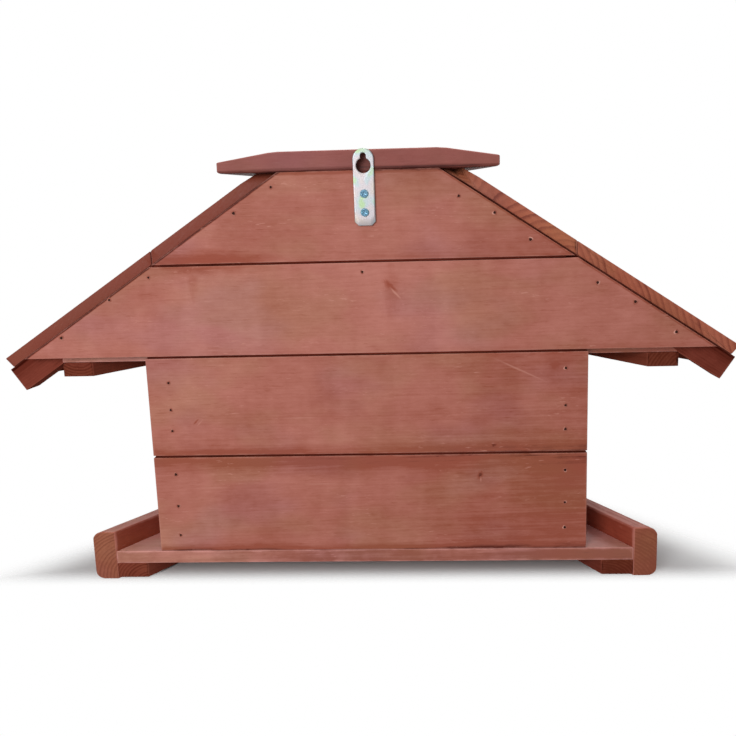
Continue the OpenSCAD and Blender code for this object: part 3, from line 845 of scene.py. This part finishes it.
def carryCap(s):
    rng = np.random.default_rng(s["seed"])
    planes = outerPlanes("cap")
    upright, tops = planes[abs(planes[:, 2]) < sideSlack], planes[planes[:, 2] > 0.5]
    upright = upright[np.argsort(np.arctan2(upright[:, 1], upright[:, 0]))]
    base = -planes[planes[:, 2].argmin(), 3]
    isBack = upright[:, 1] > 0.9
    crown = tops[tops[:, 2].argmax(), 3]
    slope = tops[tops[:, 1].argmin()]
    bevelRun = upright[upright[:, 1].argmin(), 3] + (slope[3] - slope[2] * crown) / slope[1]

    def outline(openDraw, backDraw):
        lines = upright[:, :2]
        offsets = upright[:, 3] - np.where(isBack, backDraw, openDraw)
        pairs = np.stack([lines, np.roll(lines, -1, 0)], axis=1)
        return np.linalg.solve(pairs, np.stack([offsets, np.roll(offsets, -1)], axis=1)[..., None])[..., 0]

    radius = s["arris"]
    turn = np.linspace(math.pi / 2, 0, boardSet["arcSteps"] + 1)
    bevel = np.linspace(0, 1, s["bevelRings"] + 1)[1:]
    level = np.linspace(0, 1, s["levelRings"] + 1)[1:]
    quarter, flat = radius * (1 - np.cos(turn)), np.zeros(len(s["edgeRows"]))
    under = s["baseArris"] * (1 - np.cos(turn))
    openDraw = np.r_[under, flat, quarter[::-1], radius + (bevelRun - radius) * bevel,
                     bevelRun + s["levelDraw"] * level]
    backDraw = np.r_[under, flat, quarter[::-1], radius + s["backDraw"] * bevel,
                     radius + s["backDraw"] + s["levelDraw"] * level]
    lift = radius * (1 - np.sin(turn))
    cuts = roundedLoop(outline(0, 0), radius)[3]
    rings, edges, normals = [], [], []
    for drawIn, backIn in zip(openDraw, backDraw):
        ring, normal, span, _ = roundedLoop(outline(drawIn, backIn), radius, cuts)
        rings.append(ring)
        normals.append(normal)
        edges.append(np.exp(-span / boardSet["wearReach"]))
    flatPlaces, edge, normals = np.array(rings), np.array(edges), np.array(normals)
    top = ((tops[:, 3] - flatPlaces @ tops[:, :2].T) / tops[:, 2]).min(axis=-1)
    rows = len(top)
    onEdge, onTop = len(turn) + len(flat), rows - len(turn) - len(flat)
    height = top - np.r_[np.zeros(onEdge), lift[::-1], np.zeros(onTop - len(turn))][:, None]
    height[:len(turn)] = base + s["baseArris"] * (1 - np.sin(turn))[:, None]
    share = np.array(s["edgeRows"])[:, None]
    edgeFoot, edgeHead = base + s["baseArris"], top[len(turn):onEdge] - radius
    height[len(turn):onEdge] = edgeFoot * (1 - share) + edgeHead * share
    rim = np.r_[np.zeros(onEdge), np.ones(len(turn)), np.exp(-bevel * bevelRun / s["rimReach"]), level * 0]
    side = np.r_[np.zeros(1), np.ones(onEdge), np.zeros(rows - onEdge - 1)][:, None]
    # The rows round the cap's lower edge are stained near black: painted shade in the gap under the cap
    capBaseShade = np.repeat(s["capBaseShade"], (len(turn), rows - len(turn)))[:, None]
    worn = np.maximum(rim[:, None], edge * side)
    marks = np.stack(np.broadcast_arrays(worn, side * normals[..., 0] ** 2, capBaseShade), axis=-1)
    waves = slowWaves(rng, flatPlaces[..., 0], flatPlaces[..., 1], *s["warpWaves"])
    height = height - boardSet["warp"] * waves * (1 - side)
    places = np.concatenate([flatPlaces, height[..., None]], axis=-1)
    grain = grainField(rng, places[..., 0], places[..., 1] - wallFace, height - base, s["grainWidth"])
    return makePiece("cap_board", "cap", places, boardFaces(*top.shape), {"grain": grain, "marks": marks},
                     stains["cap_stain"])


cap = carryCap(capSet)
print("cap carried")


# Pocket for the wall screw's head, bored through the cap's back into the plank below it
keyhole = next(mount for mount in frame["record"]["mounts"] if mount["name"] == "keyhole")
keyPlace = Vector(keyhole["pos_m"])
pocketSet = {"radius": 0.008, "depth": 0.007, "rise": 0.00255, "overcut": 0.002, "sides": 40,
             "sharpAngle": 40}


# A short cylinder: a circle carried along +Y between two flat ends
def pocketCutter(s):
    turn = np.linspace(0, 2 * math.pi, s["sides"], endpoint=False)
    depth = np.array([wallFace + s["overcut"], wallFace - s["depth"]])[:, None]
    x = keyPlace.x + s["radius"] * np.cos(turn)
    z = keyPlace.z + s["rise"] + s["radius"] * np.sin(turn)
    places = np.stack(np.broadcast_arrays(x[None], depth, z[None]), axis=-1)
    mesh = bpy.data.meshes.new("pocket_cutter")
    mesh.from_pydata(places.reshape(-1, 3).tolist(), [], boardFaces(2, s["sides"]))
    cutter = bpy.data.objects.new("pocket_cutter", mesh)
    scene.collection.objects.link(cutter)
    return cutter


def vectorsOf(mesh, label):
    values = np.empty(len(mesh.vertices) * 3, np.float32)
    mesh.attributes[label].data.foreach_get("vector", values)
    return values.reshape(-1, 3).astype(float)


# The Boolean empties the point attributes. Grain is an affine map of place, found again from the points
# before the cut, and each point takes the marks of the nearest point there was.
def borePocket(s, piece, cutter):
    before = {label: vectorsOf(piece.data, label) for label in ("position", "grain", "marks")}
    cut = piece.modifiers.new("pocket", "BOOLEAN")
    cut.operation, cut.solver, cut.object = "DIFFERENCE", "EXACT", cutter
    settled = bpy.context.evaluated_depsgraph_get()
    bored = bpy.data.meshes.new_from_object(piece.evaluated_get(settled), preserve_all_data_layers=True,
                                            depsgraph=settled)
    piece.modifiers.remove(cut)
    piece.data = bored
    after = vectorsOf(bored, "position")
    old, new = (np.c_[places, np.ones(len(places))] for places in (before["position"], after))
    grain = new @ np.linalg.lstsq(old, before["grain"], rcond=None)[0]
    nearest = ((old ** 2).sum(axis=1) - 2 * new @ old.T).argmin(axis=1)
    for label, values in (("grain", grain), ("marks", before["marks"][nearest])):
        bored.attributes[label].data.foreach_set("vector", values.reshape(-1).astype(np.float32))
    bored.set_sharp_from_angle(angle=math.radians(s["sharpAngle"]))


cutter = pocketCutter(pocketSet)
for piece in (cap, bpy.data.objects["gable_plank_upper_board"]):
    borePocket(pocketSet, piece, cutter)
bpy.data.objects.remove(cutter)
print("pocket bored")


zincSet = {"metallic": 0.6, "relief": 0.0002}


def zincPlated(name, base, drift, scale, bump):
    material, tree, surface = newMaterial(name)
    given = {"Position": objectPlace(tree), "Scale": scale, "Base": base + (1,), "Drift": drift}
    bloom = useGroup(tree, zincBloom, given)
    dress(tree, surface, bloom["Color"], bloom["Roughness"], bloom["Height"], bump, zincSet["relief"])
    surface.inputs["Metallic"].default_value = zincSet["metallic"]
    return material


# Hanger plate: a rounded section carried round the keyhole. Its inner side follows the keyhole, its outer
# side the plate's outline, both given as a radius at each angle about the large hole's middle.
plateSet = {"edge": 0.0004, "slotRadius": 0.0023, "slotDrop": 0.0058, "chamfer": 0.003, "angles": 144,
            "faceRows": 8, "bendRows": 4, "domeSteps": 120, "runSteps": 60,
            "neck": (-1.02, -0.98, 0.98, 1.02), "zinc": ((0.325, 0.31, 0.30), 0.9, 75.0, 0.25)}


def carryPlate(s):
    low, high = (np.array(corner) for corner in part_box("hanger_plate"))
    half, thick = (high[0] - low[0]) / 2, high[1] - low[1]
    top, bottom = high[2] - keyPlace.z, low[2] - keyPlace.z
    dome = np.linspace(0, math.pi, s["domeSteps"])
    foot = np.array([[-half, top - half], [-half, bottom + s["chamfer"]], [-half + s["chamfer"], bottom],
                     [half - s["chamfer"], bottom], [half, bottom + s["chamfer"]], [half, top - half]])
    share = np.linspace(0, 1, s["runSteps"])[:, None, None]
    runs = (foot[:-1] * (1 - share) + foot[1:] * share).transpose(1, 0, 2).reshape(-1, 2)
    rim = np.concatenate([np.c_[half * np.cos(dome), top - half + half * np.sin(dome)], runs])
    rimAngle = np.arctan2(rim[:, 1], rim[:, 0]) % (2 * math.pi)
    keyRadius = keyhole["dims"]["r_mm"] / 1000
    neck = math.asin(s["slotRadius"] / keyRadius)
    turn = np.r_[np.linspace(0, 2 * math.pi, s["angles"], endpoint=False), np.arctan2(*foot.T[::-1]),
                 math.pi / 2 + neck * np.array(s["neck"])]
    turn = np.unique(np.round(turn % (2 * math.pi), 4))
    outer = np.interp(turn, *np.array(sorted(zip(rimAngle, np.hypot(*rim.T)))).T, period=2 * math.pi)
    sine, cosine = abs(np.cos(turn)), np.sin(turn)
    rise = top - s["slotDrop"]
    side = s["slotRadius"] / np.maximum(sine, 1e-6)
    arch = rise * cosine + np.sqrt(np.maximum(s["slotRadius"] ** 2 - (rise * sine) ** 2, 0))
    slot = np.where(cosine > 0, np.where(side * cosine <= rise, side, arch), 0)
    inner = np.maximum(keyRadius, slot)
    edge, bend = s["edge"], np.linspace(0, math.pi / 2, s["bendRows"])
    face = np.linspace(0, 1, s["faceRows"])
    one, none = np.ones(s["bendRows"]), np.zeros(s["bendRows"])
    mix = np.r_[face, one, one, face[::-1], none, none]
    shift = np.r_[edge * (1 - 2 * face), edge * (np.sin(bend) - 1), edge * (np.cos(bend) - 1),
                  edge * (1 - 2 * face[::-1]), edge * (1 - np.sin(bend)), edge * (1 - np.cos(bend))]
    depth = np.r_[face * 0 + thick, thick + edge * (np.cos(bend) - 1), edge * (1 - np.sin(bend)), face * 0,
                  edge * (1 - np.cos(bend)), thick + edge * (np.sin(bend) - 1)]
    section = np.unique(np.round(np.c_[mix, shift, depth], 9), axis=0, return_index=True)[1]
    mix, shift, depth = (x[np.sort(section)][:, None] for x in (mix, shift, depth))
    reach = inner * (1 - mix) + outer * mix + shift
    places = np.stack(np.broadcast_arrays(keyPlace.x + reach * np.cos(turn), low[1] + depth,
                                          keyPlace.z + reach * np.sin(turn)), axis=-1)
    index = np.arange(reach.size).reshape(reach.shape)
    faces = gridQuads(index, np.roll(index, -1, 0)).tolist()
    makePiece("hanger_plate_zinc", "hanger_plate", places, faces, {},
              zincPlated("zinc_plate", *s["zinc"]))


carryPlate(plateSet)

# Pan-head screws: a profile turned about the screw's axis, with a cross pressed into the dome
screwSet = {
    "angles": 72, "rings": 26, "innermost": 0.03, "dome": (0.42, 0.93, 2.4), "shank": 0.0015, "tip": 0.0001,
    "tail": ((0.995, 0.25), (0.98, 0.0)), "armWidth": 0.00056, "armLength": 0.0019, "armFade": 0.45,
    "recess": 0.0014, "turns": (0.45, 0.62), "zinc": ((0.14, 0.28, 0.38), 0.25, 160.0, 0.3),
}


def turnScrews(s):
    low, high = (np.array(corner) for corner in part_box("hanger_screws"))
    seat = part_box("hanger_plate")[1].y
    radius, rise = (high[0] - low[0]) / 2, high[1] - seat
    angle = np.linspace(0, 2 * math.pi, s["angles"], endpoint=False)
    ring = np.linspace(s["innermost"], 1, s["rings"])[:, None] * radius
    rimShare, fall, power = s["dome"]
    dome = rise * (rimShare + (1 - rimShare) * np.sqrt(1 - fall * (ring / radius) ** power))
    tail = np.array(s["tail"]) * (radius, rise)
    shank = np.array([[s["shank"], 0.0], [s["shank"], low[1] - seat], [s["tip"], low[1] - seat]])
    lower = np.concatenate([tail, shank])
    allPlaces, allFaces = [], []
    for k, z in enumerate((high[2] - radius, low[2] + radius)):
        x, y = ring * np.cos(angle + s["turns"][k]), ring * np.sin(angle + s["turns"][k])
        arms = [np.clip(2 - abs(a) / s["armWidth"], 0, 1) * np.clip(4 - 3 * abs(b) / s["armLength"], 0, 1)
                for a, b in ((x, y), (y, x))]
        press = np.maximum(*arms)
        sunk = s["recess"] * press * press * (3 - 2 * press)
        height = dome - sunk * (1 - s["armFade"] * ring / s["armLength"])
        reach = np.concatenate([np.broadcast_to(ring, height.shape), np.repeat(lower[:, :1], s["angles"], 1)])
        height = np.concatenate([height, np.repeat(lower[:, 1:], s["angles"], 1)])
        allPlaces.append(np.stack([keyPlace.x + reach * np.sin(angle), seat + height,
                                   z + reach * np.cos(angle)], axis=-1))
        allFaces += [[corner + k * height.size for corner in face] for face in boardFaces(*height.shape)]
    makePiece("hanger_screws_zinc", "hanger_screws", np.concatenate(allPlaces), allFaces, {},
              zincPlated("zinc_screw", *s["zinc"]))


turnScrews(screwSet)
print("plate and screws made")

# Nails, driven a little below the surface, each with a lip of torn wood. Gable nails are (distance from the
# middle, drop below the roof), wall nails are heights, all in metres.
nailSet = {
    "rings": np.array([0.0, 0.0006, 0.0009, 0.0011, 0.0016, 0.0023]),
    "heights": np.array([0.00004, 0.00004, 0.00006, 0.00020, 0.00008, -0.0004]),
    "angles": 14, "lipFrom": 0.0001, "pitTo": 0.00105, "sizes": (0.85, 1.2), "tilt": 0.6, "lobes": 0.12,
    "innermost": 0.00001, "bared": (0.2, 1.0), "baredLeft": 0.35, "seed": 31,
    "gable": {1: ((0.069, 0.008), (0.100, 0.007), (0.173, 0.008), (0.207, 0.003), (0.250, 0.005)),
              -1: ((0.079, 0.012), (0.107, 0.007), (0.135, 0.010), (0.188, 0.010), (0.218, 0.006),
                   (0.251, 0.009))},
    "wall": {1: (0.173, 0.150, 0.132, 0.094, 0.066, 0.040),
             -1: (0.180, 0.149, 0.129, 0.094, 0.066, 0.044)},
    "wallInset": 0.018, "middle": (-0.001, 0.261), "eaveInset": 0.013, "roofShares": (0.28, 0.72),
    "railHeight": 0.020, "railShares": (0.14, 0.5, 0.86), "edgeSlack": 0.001,
}
pitSet = {
    "pit": (0.030, 0.008, 0.005, 1), "lip": ((0.22, 0.055, 0.035, 1), (0.40, 0.14, 0.10, 1)),
    "bared": (0.62, 0.31, 0.25, 1), "speck": 900, "pitEdge": (0.25, 0.75), "gloss": 0.1, "rough": (0.2, 0.6),
    "bump": 0.3, "relief": 0.0002,
}


# How far a node reaches one way, and places at the given shares along the edge it has there
def edgePlaces(node, out, along, shares, slack):
    places = nodeMesh(node)[0]
    reach = places @ out
    span = (places @ along)[reach > reach.max() - slack]
    return reach.max(), span.min() + np.array(shares) * np.ptp(span)


def nailSpots(s):
    spots = []
    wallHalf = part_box("wall_plank_lower")[1].x
    for way in (-1, 1):
        slopes = [row for row in outerPlanes("gable_plank_lower") if row[0] * way > 0.1]
        under = max(slopes, key=lambda row: row[2])
        for out, drop in s["gable"][way]:
            roofLine = (under[3] - under[0] * way * out - under[1] * wallFace) / under[2]
            spots.append(((way * out, wallFace, roofLine - drop), (0, 1, 0)))
        spots += [((way * (wallHalf - s["wallInset"]), wallFace, z), (0, 1, 0)) for z in s["wall"][way]]
    spots.append(((s["middle"][0], wallFace, s["middle"][1]), (0, 1, 0)))
    for side in ("left", "front", "right"):
        for k in range(1, 5):
            node = f"roof_{side}_{k}"
            normal = np.array(roofNormal(node))
            down = np.array(slopeWay(node))
            across = np.cross(normal[:3], down)
            eave, offsets = edgePlaces(node, down, across, s["roofShares"], s["edgeSlack"])
            for offset in offsets:
                at = down * (eave - s["eaveInset"]) + across * offset + normal[:3] * normal[3]
                spots.append((tuple(at), tuple(normal[:3])))
        rail = "rail_" + side
        along = np.array(sideWay(rail))
        out = np.cross(along, (0, 0, 1))
        face, offsets = edgePlaces(rail, out, along, s["railShares"], s["edgeSlack"])
        for offset in offsets:
            at = along * offset + out * face + np.array((0, 0, s["railHeight"]))
            spots.append((tuple(at), tuple(out)))
    return spots


def nailPits(s):
    material, tree, surface = newMaterial("nail_pits")
    marked = split(tree, attribute(tree, "marks"))
    speck = noise(tree, objectPlace(tree), scale=s["speck"], detail=3)
    lip = blend(tree, marked["Y"], blend(tree, speck, *s["lip"]), s["bared"])
    colour = blend(tree, smooth(tree, marked["X"], *s["pitEdge"]), lip, s["pit"])
    rough = maths(tree, "MULTIPLY_ADD", speck, *s["rough"])
    dress(tree, surface, colour, rough, speck, s["bump"], s["relief"])
    surface.inputs["Specular IOR Level"].default_value = s["gloss"]
    return material


# Each nail is a turned profile of ring radius and height about its own normal; the lip is higher on one side
def driveNails(s):
    rng = np.random.default_rng(s["seed"])
    spots = nailSpots(s)
    at, normal = (np.array([spot[k] for spot in spots])[:, None, None] for k in (0, 1))
    first = np.cross(normal, np.where(abs(normal[..., 2:]) < 0.9, (0, 0, 1), (1, 0, 0)))
    first /= np.linalg.norm(first, axis=-1, keepdims=True)
    second = np.cross(normal, first)
    angle = np.linspace(0, 2 * math.pi, s["angles"], endpoint=False)[None, None, :, None]
    ring, height = s["rings"][None, :, None, None], s["heights"][None, :, None, None]
    torn = rng.uniform(0, 2 * math.pi, (len(spots), 1, 1, 1))
    size = rng.uniform(*s["sizes"], (len(spots), 1, 1, 1))
    uneven = 1 + s["tilt"] * np.cos(angle - torn)
    reach = size * (ring * (1 + s["lobes"] * np.sin(3 * angle + torn)) + s["innermost"])
    places = at + first * reach * np.cos(angle) + second * reach * np.sin(angle)
    places = places + normal * np.where(height > s["lipFrom"], height * uneven, height)
    pit = np.broadcast_to(np.where(ring < s["pitTo"], 1.0, 0.0), places.shape[:3] + (1,))
    bared = rng.uniform(*s["bared"], (len(spots), 1, 1, 1)) * np.where(at[..., :1] < 0, 1.0, s["baredLeft"])
    bared = bared * np.clip(np.cos(angle - torn), 0, 1) + pit * 0
    marks = np.concatenate([pit, bared, pit * 0], axis=-1)
    rows, count = len(s["rings"]), s["angles"]
    index = np.arange(rows * count).reshape(rows, count)
    quads = gridQuads(index[:-1], index[1:])[:, ::-1]
    starts = np.arange(len(spots))[:, None, None] * rows * count
    faces = (quads[None] + starts).reshape(-1, 4).tolist()
    makePiece("nails", None, places, faces, {"marks": marks}, nailPits(pitSet))
    return len(spots)


print("nails driven:", driveNails(nailSet))
